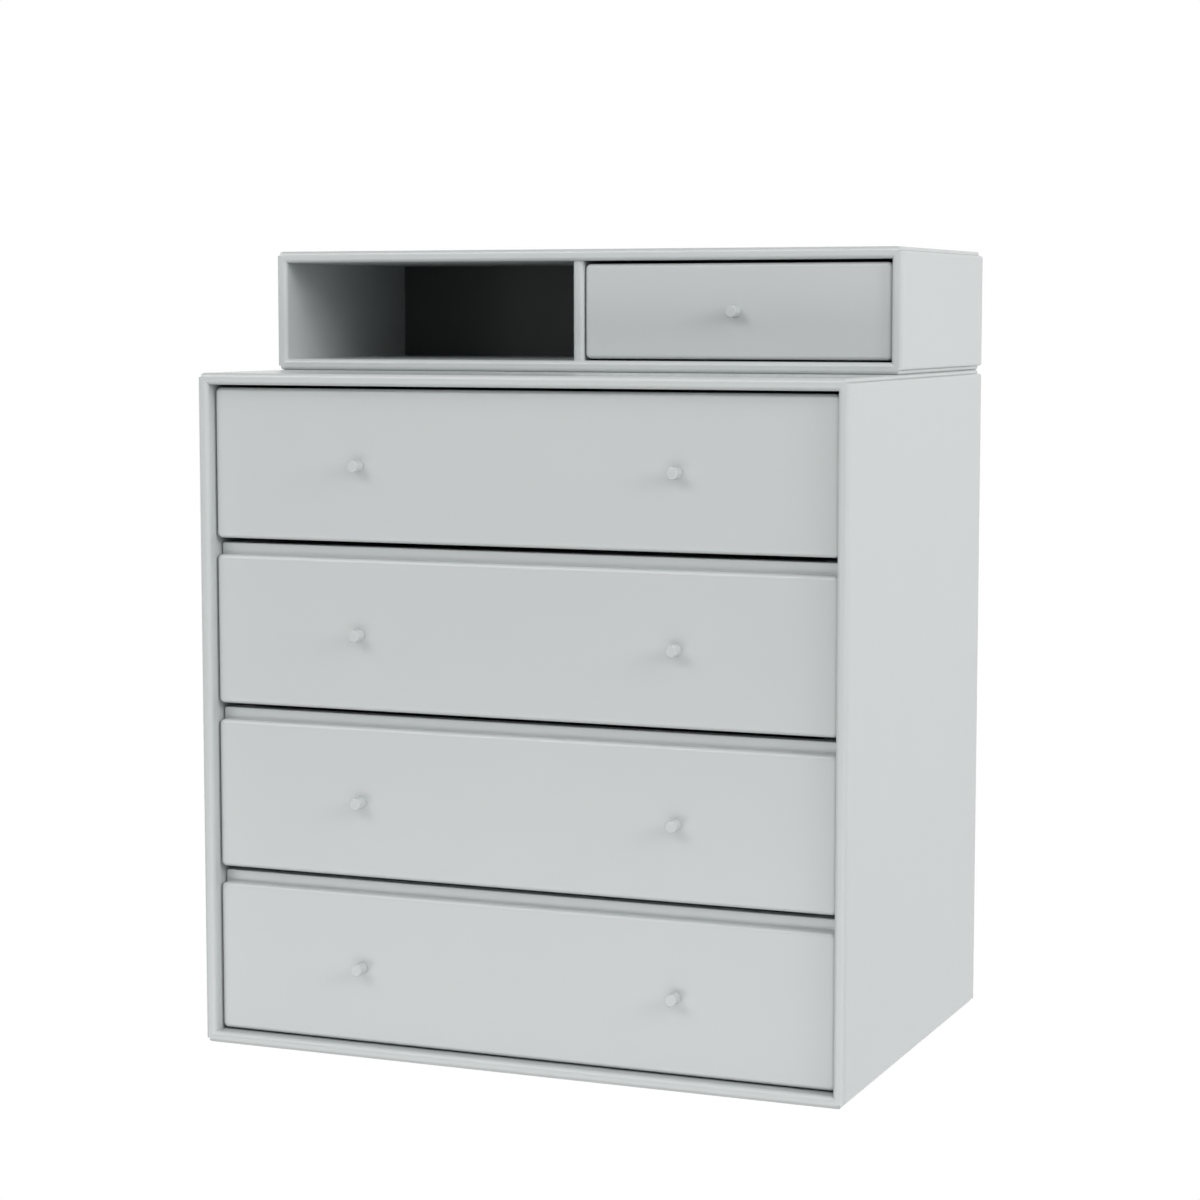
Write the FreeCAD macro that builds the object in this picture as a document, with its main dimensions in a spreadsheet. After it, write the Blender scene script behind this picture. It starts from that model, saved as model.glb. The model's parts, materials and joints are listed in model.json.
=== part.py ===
"""Wall-hung chest of drawers: two stacked mitred boxes, four wide drawers, one small drawer and an open bay.

The origin lies on the wall, at the middle of the wall rail's line of screw holes. +X is to the right of
someone who faces the chest, -Y points out of the wall towards them and +Z is up. Lengths are millimetres.
"""
import FreeCAD
import Part
import Sketcher
import math
import os

doc = FreeCAD.newDocument("WallChest")
sheet = doc.addObject("Spreadsheet::Sheet", "Sizes")

# Driving dimensions: name, value, meaning
SIZES = (
    ("width", 696, "both boxes from side to side"),
    ("main_height", 696, "main box"),
    ("main_depth", 470, "main box, wall to front edge"),
    ("upper_height", 126, "upper box"),
    ("upper_depth", 300, "upper box, wall to front edge"),
    ("panel", 12, "thickness of the carcass panels"),
    ("arris_radius", 4.5, "rounding of the panels' front edges"),
    ("tip_radius", 3, "rounding of each panel's mitred tip, which leaves a V groove at the corner"),
    ("back_panel", 8, "thickness of the back panels"),
    ("back_groove", 4, "depth of the grooves that hold the back panels"),
    ("divider_recess", 5, "divider behind the upper box's front edge"),
    ("drawer_recess", 12.5, "wide drawer fronts behind the main box's front edge"),
    ("front_panel", 12, "thickness of the outer drawer fronts"),
    ("side_gap", 1.3, "at each end of a drawer front"),
    ("end_gap", 2, "below the lowest drawer front"),
    ("top_gap", 3.2, "above the highest drawer front"),
    ("front_spacing", 17.2, "upright distance between two wide fronts"),
    ("front_edge", 4, "rounding around the drawer fronts"),
    ("front_corner", 5.5, "corner radius of the drawer fronts"),
    ("inner_front", 12, "thickness of the drawer boxes' own fronts"),
    ("inner_edge", 1, "rounding around the drawer boxes' own fronts"),
    ("inner_corner", 2, "corner radius of the drawer boxes' own fronts"),
    ("strip_rise", 11.7, "inner front above its outer front, on all but the top drawer"),
    ("top_drop", 6, "top drawer's box below the upper edge of its outer front"),
    ("box_lift", 2, "drawer box above the lower edge of its outer front"),
    ("box_side", 12, "thickness of the drawer sides"),
    ("box_back", 12, "thickness of the drawer backs"),
    ("box_rear_gap", 3.5, "behind the wide drawers, up to the hanging batten"),
    ("box_edge", 2, "rounding along the top of the drawer sides"),
    ("tray", 6, "thickness of the drawer bottoms"),
    ("tray_lift", 10, "drawer bottom above the lower edge of the drawer box"),
    ("tray_groove", 5, "depth of the grooves that hold the drawer bottoms"),
    ("runner_space", 13, "between a drawer side and the carcass"),
    ("runner_height", 45, "cabinet member of a runner"),
    ("runner_metal", 1.2, "thickness of the runner sheet"),
    ("runner_play", 0.5, "between two members of a runner"),
    ("runner_rise", 50, "wide drawers' runners above the lower edge of the drawer box"),
    ("small_recess", 7, "small drawer front behind the upper box's front edge"),
    ("small_rear_gap", 27, "behind the small drawer, up to the back panel"),
    ("small_box_height", 74, "small drawer sides"),
    ("small_runner_rise", 20, "small drawer's runners above the lower edge of the drawer box"),
    ("knob_diameter", 12, "knobs"),
    ("knob_length", 15, "knobs, from the drawer front outwards"),
    ("knob_edge", 1, "rounding at the knobs' outer edge"),
    ("knob_offset", 171, "wide drawers' knobs from the middle of the front"),
    ("knob_thread", 9, "length of screw inside a knob"),
    ("screw_diameter", 4, "all wood and knob screws"),
    ("screw_head", 8, "head diameter"),
    ("screw_head_height", 1.8, "head height"),
    ("screw_play", 0.1, "holes over the screws' diameter"),
    ("screw_bite", 8, "length of a screw in the last piece that it holds"),
    ("screw_inset", 60, "fixing screws from the ends of what they hold"),
    ("hook_metal", 1.8, "thickness of the hooks and the wall rail"),
    ("hook_play", 0.2, "between a hook and the rail's lip"),
    ("hook_width", 60, "each hanging hook"),
    ("hook_inset", 90, "middle of each hook from the end of the rail"),
    ("hook_tongue", 14, "depth of a hook over the rail's lip"),
    ("hook_plate", 34, "hook plate above the rail's lip"),
    ("batten_height", 60, "hanging batten"),
    ("batten_depth", 16, "hanging batten"),
    ("rail_end_gap", 16, "between the ends of the wall rail and the sides"),
    ("rail_foot", 16, "rail below its line of holes"),
    ("rail_web", 16, "rail above its line of holes, up to the step"),
    ("rail_lip", 18, "rail's lip above the step"),
    ("rail_hole", 6.5, "screw holes in the rail"),
    ("rail_hole_inset", 40, "outer two holes from the ends of the rail"),
    ("rail_inner_pair", 240, "between the inner two holes"),
)

for row, (alias, value, meaning) in enumerate(SIZES, start=1):
    sheet.set(f"A{row}", meaning)
    sheet.set(f"B{row}", str(value))
    sheet.setAlias(f"B{row}", alias)
doc.recompute()

# Sizes worked out from the driving ones, as expressions
WIDE_DRAWERS = 4
INNER_WIDTH = "(Sizes.width - 2 * Sizes.panel)"
MAIN_INNER = "(Sizes.main_height - 2 * Sizes.panel)"
UPPER_INNER = "(Sizes.upper_height - 2 * Sizes.panel)"

# Hanging gear: the rail's lip, a hook's plate and its tongue share the space behind the back panel
BACK_RECESS = "(3 * Sizes.hook_metal + 3 * Sizes.hook_play)"
LIP_FRONT = f"(Sizes.hook_metal + Sizes.hook_play - {BACK_RECESS})"
RAIL_STEP = "(Sizes.rail_foot + Sizes.rail_web)"
RAIL_LENGTH = f"({INNER_WIDTH} - 2 * Sizes.rail_end_gap)"
RAIL_OUTER_PAIR = f"({RAIL_LENGTH} - 2 * Sizes.rail_hole_inset)"
LIP_TOP = "(Sizes.rail_web + Sizes.rail_lip)"
TONGUE_FRONT = "(2 * Sizes.hook_metal + 2 * Sizes.hook_play)"
TONGUE_REAR = "(3 * Sizes.hook_metal + 2 * Sizes.hook_play)"
HOOK_TOP = "(Sizes.hook_tongue + Sizes.hook_plate)"
HOOK_LOW = f"({LIP_TOP} - Sizes.hook_tongue)"
HOOK_MIDDLE = f"({RAIL_LENGTH} / 2 - Sizes.hook_inset)"
HOOK_SCREW_RISE = "(Sizes.hook_tongue + (Sizes.hook_plate + Sizes.hook_metal) / 2)"
HOOK_SCREW_LEVEL = f"({HOOK_LOW} + {HOOK_SCREW_RISE})"

# Levels: the hook screws meet the middle of the batten under the main box's top
BATTEN_LOW = f"({HOOK_SCREW_LEVEL} - Sizes.batten_height / 2)"
MAIN_TOP = f"({BATTEN_LOW} + Sizes.batten_height + Sizes.panel)"
UNDERSIDE = f"({MAIN_TOP} - Sizes.main_height)"
BACK_REAR = f"(-{BACK_RECESS})"
BACK_FRONT = f"(-{BACK_RECESS} - Sizes.back_panel)"
BATTEN_FRONT = f"({BACK_FRONT} - Sizes.batten_depth)"

# Wide drawers
STACKED_GAPS = f"(Sizes.end_gap + Sizes.top_gap + {WIDE_DRAWERS - 1} * Sizes.front_spacing)"
FRONT_HEIGHT = f"(({MAIN_INNER} - {STACKED_GAPS}) / {WIDE_DRAWERS})"
FRONT_WIDTH = f"({INNER_WIDTH} - 2 * Sizes.side_gap)"
BOX_WIDTH = f"({INNER_WIDTH} - 2 * Sizes.runner_space)"
FACE = "(-Sizes.main_depth + Sizes.drawer_recess)"
INNER_FACE = f"({FACE} + Sizes.front_panel)"
BOX_START = f"({INNER_FACE} + Sizes.inner_front)"
BOX_LENGTH = f"({BATTEN_FRONT} - Sizes.box_rear_gap - {BOX_START})"
TRAY_TOP = "(Sizes.tray_lift + Sizes.tray)"
GROOVE_WALL = "(Sizes.box_side - Sizes.tray_groove)"

# Small drawer, in the bay to the right of the divider
BAY_WIDTH = f"(({INNER_WIDTH} - Sizes.panel) / 2)"
BAY_LEFT = "(Sizes.panel / 2)"
SMALL_MIDDLE = f"({BAY_LEFT} + {BAY_WIDTH} / 2)"
SMALL_FRONT_WIDTH = f"({BAY_WIDTH} - 2 * Sizes.side_gap)"
SMALL_FRONT_HEIGHT = f"({UPPER_INNER} - Sizes.end_gap - Sizes.top_gap)"
SMALL_FACE = "(-Sizes.upper_depth + Sizes.small_recess)"
SMALL_START = f"({SMALL_FACE} + Sizes.front_panel)"
SMALL_LENGTH = f"({BACK_FRONT} - Sizes.small_rear_gap - {SMALL_START})"
SMALL_BOX_WIDTH = f"({BAY_WIDTH} - 2 * Sizes.runner_space)"
SMALL_FRONT_LOW = f"({MAIN_TOP} + Sizes.panel + Sizes.end_gap)"
SMALL_BOX_LOW = f"({SMALL_FRONT_LOW} + Sizes.box_lift)"
SMALL_KNOB_LEVEL = f"({SMALL_FRONT_LOW} + {SMALL_FRONT_HEIGHT} / 2)"

# Runners and screws
HOLE = "(Sizes.screw_diameter + Sizes.screw_play)"
MEMBER_STEP = "(Sizes.runner_metal + Sizes.runner_play)"
MIDDLE_WEB = "(Sizes.runner_metal + Sizes.screw_head_height + Sizes.runner_play)"
MIDDLE_WEB_END = f"({MIDDLE_WEB} + Sizes.runner_metal)"
DRAWER_WEB_END = "(Sizes.runner_space - Sizes.runner_metal)"

TOUCH = 0.001
ALONG_X = FreeCAD.Vector(1, 0, 0)
ALONG_Y = FreeCAD.Vector(0, 1, 0)
ALONG_Z = FreeCAD.Vector(0, 0, 1)
nodes = []


def number(expression):
    """The value that an expression has now, for the first draft of a sketch."""
    return float(sheet.evalExpression(expression))


# Sketches

def sketch_on(body, plane, offset="0"):
    """An empty sketch on one of the body's own planes, moved along the plane's normal."""
    sketch = body.newObject("Sketcher::SketchObject", "Sketch")
    support = next(item for item in body.Origin.OriginFeatures if item.Role == plane)
    sketch.AttachmentSupport = [(support, "")]
    sketch.MapMode = "FlatFace"
    sketch.setExpression("AttachmentOffset.Base.z", offset)
    return sketch


def pin_point(sketch, geometry, point, across, up):
    """Fixes a point of the sketch at a distance from the sketch's origin."""
    for kind, expression in (("DistanceX", across), ("DistanceY", up)):
        rule = Sketcher.Constraint(kind, -1, 1, geometry, point, number(expression))
        index = sketch.addConstraint(rule)
        sketch.setExpression(f"Constraints[{index}]", expression)


def add_polygon(sketch, corners):
    points = [FreeCAD.Vector(number(across), number(up), 0) for across, up in corners]
    lines = [
        sketch.addGeometry(Part.LineSegment(start, end))
        for start, end in zip(points, points[1:] + points[:1])
    ]
    for line, following in zip(lines, lines[1:] + lines[:1]):
        sketch.addConstraint(Sketcher.Constraint("Coincident", line, 2, following, 1))
    for line, (across, up) in zip(lines, corners):
        pin_point(sketch, line, 1, across, up)


def add_rectangle(sketch, left, low, right, high):
    add_polygon(sketch, [(left, low), (right, low), (right, high), (left, high)])


def add_circles(sketch, centres, diameter):
    for across, up in centres:
        middle = FreeCAD.Vector(number(across), number(up), 0)
        ring = sketch.addGeometry(Part.Circle(middle, ALONG_Z, number(diameter) / 2))
        pin_point(sketch, ring, 3, across, up)
        index = sketch.addConstraint(Sketcher.Constraint("Diameter", ring, number(diameter)))
        sketch.setExpression(f"Constraints[{index}]", diameter)


def add_arris(sketch, height, radius, upper):
    """The sliver between a square front edge at (0, height) and its rounding."""
    level, size = number(height), number(radius)
    turn = -1 if upper else 1
    corner = FreeCAD.Vector(0, level, 0)
    inward = FreeCAD.Vector(size, level, 0)
    along = FreeCAD.Vector(0, level + turn * size, 0)
    middle = FreeCAD.Vector(size, level + turn * size, 0)
    start, end = (math.pi / 2, math.pi) if upper else (math.pi, 1.5 * math.pi)
    flat = sketch.addGeometry(Part.LineSegment(corner, inward))
    upright = sketch.addGeometry(Part.LineSegment(along, corner))
    arc = sketch.addGeometry(Part.ArcOfCircle(Part.Circle(middle, ALONG_Z, size), start, end))
    arc_at_flat, arc_at_upright = (1, 2) if upper else (2, 1)
    sketch.addConstraint(Sketcher.Constraint("Coincident", upright, 2, flat, 1))
    sketch.addConstraint(Sketcher.Constraint("Tangent", flat, 2, arc, arc_at_flat))
    sketch.addConstraint(Sketcher.Constraint("Tangent", arc, arc_at_upright, upright, 1))
    sketch.addConstraint(Sketcher.Constraint("Horizontal", flat))
    sketch.addConstraint(Sketcher.Constraint("Vertical", upright))
    pin_point(sketch, flat, 1, "0", height)
    index = sketch.addConstraint(Sketcher.Constraint("Radius", arc, size))
    sketch.setExpression(f"Constraints[{index}]", radius)


# Features

def pad(body, sketch, length, against_normal=False):
    feature = body.newObject("PartDesign::Pad", "Pad")
    feature.Profile = sketch
    feature.Reversed = against_normal
    feature.setExpression("Length", length)
    doc.recompute()
    return feature


def pocket(body, sketch, depth=None, along_normal=False):
    """Cuts to a depth, or right through where none is given."""
    before = body.Tip.Shape.Volume
    feature = body.newObject("PartDesign::Pocket", "Pocket")
    feature.Profile = sketch
    feature.Reversed = along_normal
    if depth:
        feature.setExpression("Length", depth)
    else:
        feature.Type = "ThroughAll"
    doc.recompute()
    if feature.Shape.Volume > before - TOUCH:
        raise RuntimeError(f"a cut in {body.Label} removes nothing")
    return feature


def fillet(body, radius, wanted):
    """Rounds the edges whose bounding box passes the test."""
    base = body.Tip
    edges = [f"Edge{i}" for i, edge in enumerate(base.Shape.Edges, start=1) if wanted(edge.BoundBox)]
    feature = body.newObject("PartDesign::Fillet", "Fillet")
    feature.Base = (base, edges)
    feature.setExpression("Radius", radius)
    doc.recompute()
    return feature


def runs_along_y(box):
    return box.XLength < TOUCH and box.ZLength < TOUCH


def on_front_face(box):
    return box.YMax < TOUCH


def place(thing, x, y, z, axis=ALONG_Z, angle=0):
    thing.Placement = FreeCAD.Placement(FreeCAD.Vector(), FreeCAD.Rotation(axis, angle))
    for side, expression in zip("xyz", (x, y, z)):
        thing.setExpression(f"Placement.Base.{side}", expression)
    return thing


def new_body(label, is_node=True):
    body = doc.addObject("PartDesign::Body", "Body")
    body.Label = label
    if is_node:
        nodes.append(body)
    return body


def copy_of(master, x, y, z, axis=ALONG_Z, angle=0):
    copy = doc.addObject("App::Link", "Copy")
    copy.LinkedObject = master
    return place(copy, x, y, z, axis, angle)


def group(label, members):
    """One node that holds several separate solids."""
    compound = doc.addObject("Part::Compound", "Group")
    compound.Label = label
    compound.Links = members
    nodes.append(compound)
    return compound


def board(label, width, depth, height, is_node=True):
    """A plain rectangular piece from its left, front, lower corner."""
    body = new_body(label, is_node)
    outline = sketch_on(body, "XZ_Plane")
    add_rectangle(outline, "0", "0", width, height)
    pad(body, outline, depth, against_normal=True)
    return body


# Carcass panels

def mitred_panel(label, length, depth):
    """A panel that lies on its outer face, with mitred, rounded ends and a groove for the back panel."""
    body = new_body(label)
    outline = sketch_on(body, "XZ_Plane")
    add_polygon(outline, [
        ("0", "0"),
        (length, "0"),
        (f"{length} - Sizes.panel", "Sizes.panel"),
        ("Sizes.panel", "Sizes.panel"),
    ])
    pad(body, outline, depth, against_normal=True)
    fillet(body, "Sizes.tip_radius", lambda box: runs_along_y(box) and box.ZMax < TOUCH)
    arrises = sketch_on(body, "YZ_Plane")
    add_arris(arrises, "0", "Sizes.arris_radius", upper=False)
    add_arris(arrises, "Sizes.panel", "Sizes.arris_radius", upper=True)
    pocket(body, arrises, along_normal=True)
    groove = sketch_on(body, "YZ_Plane")
    add_rectangle(
        groove,
        f"{depth} + {BACK_FRONT}",
        "Sizes.panel - Sizes.back_groove",
        f"{depth} + {BACK_REAR}",
        "Sizes.panel",
    )
    pocket(body, groove, along_normal=True)
    return body


def mitred_box(name, low, height, depth):
    """Four panels around a box, each with its outer face outwards, and the back panel in their grooves."""
    half, front, high = "Sizes.width / 2", f"-{depth}", f"{low} + {height}"
    bottom = place(mitred_panel(f"{name}_bottom_panel", "Sizes.width", depth), f"-{half}", front, low)
    top = place(mitred_panel(f"{name}_top_panel", "Sizes.width", depth), half, front, high, ALONG_Y, 180)
    left = place(mitred_panel(f"{name}_left_panel", height, depth), f"-{half}", front, high, ALONG_Y, 90)
    right = place(mitred_panel(f"{name}_right_panel", height, depth), half, front, low, ALONG_Y, -90)
    back = board(
        f"{name}_back_panel",
        f"{INNER_WIDTH} + 2 * Sizes.back_groove",
        "Sizes.back_panel",
        f"{height} - 2 * Sizes.panel + 2 * Sizes.back_groove",
    )
    place(
        back,
        f"-{INNER_WIDTH} / 2 - Sizes.back_groove",
        BACK_FRONT,
        f"{low} + Sizes.panel - Sizes.back_groove",
    )
    return {"bottom": bottom, "top": top, "left": left, "right": right, "back": back}


# Screws lie along Y: the head's seat is at y = 0 and the shank points to the front

def screw(label, length):
    body = new_body(label, is_node=False)
    head = sketch_on(body, "XZ_Plane")
    add_circles(head, [("0", "0")], "Sizes.screw_head")
    pad(body, head, "Sizes.screw_head_height", against_normal=True)
    crown = number("Sizes.screw_head_height")
    fillet(body, "Sizes.screw_head_height / 2", lambda box: box.YMin > crown - TOUCH)
    shank = sketch_on(body, "XZ_Plane")
    add_circles(shank, [("0", "0")], "Sizes.screw_diameter")
    pad(body, shank, length)
    return body


knob_screw = screw("knob_screw", "Sizes.inner_front + Sizes.front_panel + Sizes.knob_thread")
small_knob_screw = screw("small_knob_screw", "Sizes.front_panel + Sizes.knob_thread")
front_screw = screw("front_screw", "Sizes.inner_front + Sizes.screw_bite")
runner_screw = screw("runner_screw", "Sizes.runner_metal + Sizes.screw_bite")
hook_screw = screw("hook_screw", "Sizes.hook_metal + Sizes.back_panel + Sizes.screw_bite")
module_screw = screw("module_screw", "Sizes.panel + Sizes.screw_bite")

main_box = mitred_box("main", UNDERSIDE, "Sizes.main_height", "Sizes.main_depth")
upper_box = mitred_box("upper", MAIN_TOP, "Sizes.upper_height", "Sizes.upper_depth")

divider = board(
    "upper_divider",
    "Sizes.panel",
    f"Sizes.upper_depth - Sizes.divider_recess + {BACK_FRONT}",
    UPPER_INNER,
)
place(divider, f"-{BAY_LEFT}", "-Sizes.upper_depth + Sizes.divider_recess", f"{MAIN_TOP} + Sizes.panel")
fillet(divider, "Sizes.arris_radius", lambda box: on_front_face(box) and box.XLength < TOUCH)

# Screws that join the two boxes, driven up through the main box's top

carcass_screws = []
MODULE_ROWS = ("Sizes.screw_inset", "Sizes.upper_depth - Sizes.screw_inset")
MODULE_SIDES = ("Sizes.screw_inset", "Sizes.width - Sizes.screw_inset")
module_places = [(across, row) for across in MODULE_SIDES for row in MODULE_ROWS]

through = sketch_on(main_box["top"], "XY_Plane")
add_circles(through, [(across, f"Sizes.main_depth - ({row})") for across, row in module_places], HOLE)
pocket(main_box["top"], through, along_normal=True)
blind = sketch_on(upper_box["bottom"], "XY_Plane")
add_circles(blind, [(across, f"Sizes.upper_depth - ({row})") for across, row in module_places], HOLE)
pocket(upper_box["bottom"], blind, "Sizes.screw_bite", along_normal=True)
for across, row in module_places:
    seat = f"{MAIN_TOP} - Sizes.panel"
    carcass_screws.append(
        copy_of(module_screw, f"{across} - Sizes.width / 2", f"-({row})", seat, ALONG_X, -90)
    )

# Hanging gear behind the main box: the hooks' tongues drop behind the lip of the wall rail

rail = new_body("wall_rail")
section = sketch_on(rail, "YZ_Plane")
add_polygon(section, [
    (f"-{LIP_FRONT} - Sizes.hook_metal", "0"),
    (f"-{LIP_FRONT}", "0"),
    (f"-{LIP_FRONT}", RAIL_STEP),
    ("Sizes.hook_metal", RAIL_STEP),
    ("Sizes.hook_metal", f"{RAIL_STEP} + Sizes.rail_lip"),
    ("0", f"{RAIL_STEP} + Sizes.rail_lip"),
    ("0", f"{RAIL_STEP} - Sizes.hook_metal"),
    (f"-{LIP_FRONT} - Sizes.hook_metal", f"{RAIL_STEP} - Sizes.hook_metal"),
])
pad(rail, section, RAIL_LENGTH)
rail_holes = sketch_on(rail, "XZ_Plane")
add_circles(
    rail_holes,
    [
        (f"{RAIL_LENGTH} / 2 {sign} {pair} / 2", "Sizes.rail_foot")
        for pair in (RAIL_OUTER_PAIR, "Sizes.rail_inner_pair")
        for sign in "-+"
    ],
    "Sizes.rail_hole",
)
pocket(rail, rail_holes)
place(rail, f"-{RAIL_LENGTH} / 2", LIP_FRONT, "-Sizes.rail_foot")

hook = new_body("hook", is_node=False)
section = sketch_on(hook, "YZ_Plane")
add_polygon(section, [
    ("0", "0"),
    ("Sizes.hook_metal", "0"),
    ("Sizes.hook_metal", "Sizes.hook_tongue"),
    (TONGUE_FRONT, "Sizes.hook_tongue"),
    (TONGUE_FRONT, "0"),
    (TONGUE_REAR, "0"),
    (TONGUE_REAR, "Sizes.hook_tongue + Sizes.hook_metal"),
    ("Sizes.hook_metal", "Sizes.hook_tongue + Sizes.hook_metal"),
    ("Sizes.hook_metal", HOOK_TOP),
    ("0", HOOK_TOP),
])
pad(hook, section, "Sizes.hook_width")
hook_screw_sides = [f"Sizes.hook_width * {share} / 4" for share in (1, 3)]
hook_holes = sketch_on(hook, "XZ_Plane")
add_circles(hook_holes, [(across, HOOK_SCREW_RISE) for across in hook_screw_sides], HOLE)
pocket(hook, hook_holes)
hook_lefts = [f"({sign}{HOOK_MIDDLE} - Sizes.hook_width / 2)" for sign in "-+"]
group("hanging_hooks", [copy_of(hook, left, BACK_REAR, HOOK_LOW) for left in hook_lefts])

batten = board("hanging_batten", INNER_WIDTH, "Sizes.batten_depth", "Sizes.batten_height")
place(batten, f"-{INNER_WIDTH} / 2", BATTEN_FRONT, BATTEN_LOW)
hook_screw_places = [f"{left} + {across}" for left in hook_lefts for across in hook_screw_sides]
batten_holes = sketch_on(batten, "XZ_Plane", "-Sizes.batten_depth")
add_circles(
    batten_holes,
    [(f"{x} + {INNER_WIDTH} / 2", f"{HOOK_SCREW_LEVEL} - {BATTEN_LOW}") for x in hook_screw_places],
    HOLE,
)
pocket(batten, batten_holes, "Sizes.screw_bite", along_normal=True)
back_holes = sketch_on(main_box["back"], "XZ_Plane")
BACK_LOW = f"({UNDERSIDE} + Sizes.panel - Sizes.back_groove)"
add_circles(
    back_holes,
    [
        (f"{x} + {INNER_WIDTH} / 2 + Sizes.back_groove", f"{HOOK_SCREW_LEVEL} - {BACK_LOW}")
        for x in hook_screw_places
    ],
    HOLE,
)
pocket(main_box["back"], back_holes)
for x in hook_screw_places:
    carcass_screws.append(copy_of(hook_screw, x, f"{BACK_REAR} + Sizes.hook_metal", HOOK_SCREW_LEVEL))


# Runner members stand on the left wall of their bay: x = 0 is the wall and y = 0 their front end

def runner_member(label, web, web_end, reach, shrink, length, screwed):
    """A C channel whose flanges run from its web to reach."""
    body = new_body(label, is_node=False)
    low, high = f"({shrink})", f"(Sizes.runner_height - {shrink})"
    inner_low, inner_high = f"{low} + Sizes.runner_metal", f"{high} - Sizes.runner_metal"
    section = sketch_on(body, "XZ_Plane")
    add_polygon(section, [
        (web, low),
        (reach, low),
        (reach, inner_low),
        (web_end, inner_low),
        (web_end, inner_high),
        (reach, inner_high),
        (reach, high),
        (web, high),
    ])
    pad(body, section, length, against_normal=True)
    if screwed:
        holes = sketch_on(body, "YZ_Plane")
        add_circles(holes, runner_screw_places(length), HOLE)
        pocket(body, holes, along_normal=True)
    return body


def runner_screw_places(length):
    """Front and rear screw of a runner, along its length and at mid height."""
    return [("Sizes.screw_inset", "Sizes.runner_height / 2"),
            (f"{length} - Sizes.screw_inset", "Sizes.runner_height / 2")]


def cabinet_member(label, length):
    reach = f"(Sizes.runner_space - 2 * {MEMBER_STEP})"
    return runner_member(label, "0", "Sizes.runner_metal", reach, "0", length, True)


def drawer_member(label, length, shrink, tips):
    return runner_member(label, "Sizes.runner_space", DRAWER_WEB_END, tips, shrink, length, True)


wide_cabinet_member = cabinet_member("wide_cabinet_member", BOX_LENGTH)
wide_middle_member = runner_member(
    "wide_middle_member",
    MIDDLE_WEB,
    MIDDLE_WEB_END,
    f"Sizes.runner_space - {MEMBER_STEP}",
    MEMBER_STEP,
    BOX_LENGTH,
    False,
)
wide_drawer_member = drawer_member(
    "wide_drawer_member", BOX_LENGTH, f"2 * {MEMBER_STEP}", f"{MIDDLE_WEB_END} + Sizes.runner_play"
)
small_cabinet_member = cabinet_member("small_cabinet_member", SMALL_LENGTH)
small_drawer_member = drawer_member("small_drawer_member", SMALL_LENGTH, MEMBER_STEP, MIDDLE_WEB)


def pair_of(member, left, right, start, length, level):
    """A member on each wall of a bay: the right one is the left one turned about."""
    return [
        copy_of(member, left, start, level),
        copy_of(member, right, f"{start} + {length}", level, ALONG_Z, 180),
    ]


def runner_screws(left, right, start, length, level, inset, outwards):
    """Screws through the webs of a pair of members, at a distance from the walls."""
    turn = 90 if outwards else -90
    screws = []
    for along, rise in runner_screw_places(length):
        y, z = f"{start} + {along}", f"{level} + {rise}"
        screws.append(copy_of(runner_screw, f"{left} + {inset}", y, z, ALONG_Z, -turn))
        screws.append(copy_of(runner_screw, f"{right} - {inset}", y, z, ALONG_Z, turn))
    return screws


# Drawers

knob = new_body("knob", is_node=False)
stem = sketch_on(knob, "XZ_Plane")
add_circles(stem, [("0", "0")], "Sizes.knob_diameter")
pad(knob, stem, "Sizes.knob_length")
fillet(knob, "Sizes.knob_edge", lambda box: box.YMax < -number("Sizes.knob_length") + TOUCH)
thread = sketch_on(knob, "XZ_Plane")
add_circles(thread, [("0", "0")], HOLE)
pocket(knob, thread, "Sizes.knob_thread + Sizes.screw_play", along_normal=True)


def rounded_front(label, width, height, thickness, corner, edge):
    """A front with rounded corners and a rounded edge all round its face."""
    body = board(label, width, thickness, height)
    fillet(body, corner, runs_along_y)
    fillet(body, edge, on_front_face)
    return body


def outer_front(label, width, height):
    return rounded_front(
        label, width, height, "Sizes.front_panel", "Sizes.front_corner", "Sizes.front_edge"
    )


def inner_front(label, width, height):
    return rounded_front(
        label, width, height, "Sizes.inner_front", "Sizes.inner_corner", "Sizes.inner_edge"
    )


def drawer_box(name, left, width, start, length, low, height, groove_start):
    """The sides, back and bottom of a drawer, behind its front."""
    side = new_body(f"{name}_side", is_node=False)
    section = sketch_on(side, "XZ_Plane")
    add_polygon(section, [
        ("0", "0"),
        ("Sizes.box_side", "0"),
        ("Sizes.box_side", "Sizes.tray_lift"),
        (GROOVE_WALL, "Sizes.tray_lift"),
        (GROOVE_WALL, TRAY_TOP),
        ("Sizes.box_side", TRAY_TOP),
        ("Sizes.box_side", height),
        ("0", height),
    ])
    pad(side, section, length, against_normal=True)
    top = number(height)
    fillet(side, "Sizes.box_edge", lambda box: runs_along_y(box) and box.ZMin > top - TOUCH)
    holes = sketch_on(side, "YZ_Plane")
    rise = RUNNER_RISES[name]
    add_circles(
        holes,
        [(along, f"{rise} + {level}") for along, level in runner_screw_places(length)],
        HOLE,
    )
    pocket(side, holes, "Sizes.screw_bite", along_normal=True)
    right = f"{left} + {width}"
    group(f"{name}_sides", pair_of(side, left, right, start, length, low))

    inner = f"{width} - 2 * Sizes.box_side"
    back = board(f"{name}_back", inner, "Sizes.box_back", f"{height} - {TRAY_TOP}")
    place(back, f"{left} + Sizes.box_side", f"{start} + {length} - Sizes.box_back", f"{low} + {TRAY_TOP}")

    tray = board(
        f"{name}_bottom", f"{inner} + 2 * Sizes.tray_groove", f"{length} + Sizes.tray_groove", "Sizes.tray"
    )
    place(tray, f"{left} + {GROOVE_WALL}", groove_start, f"{low} + Sizes.tray_lift")


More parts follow.
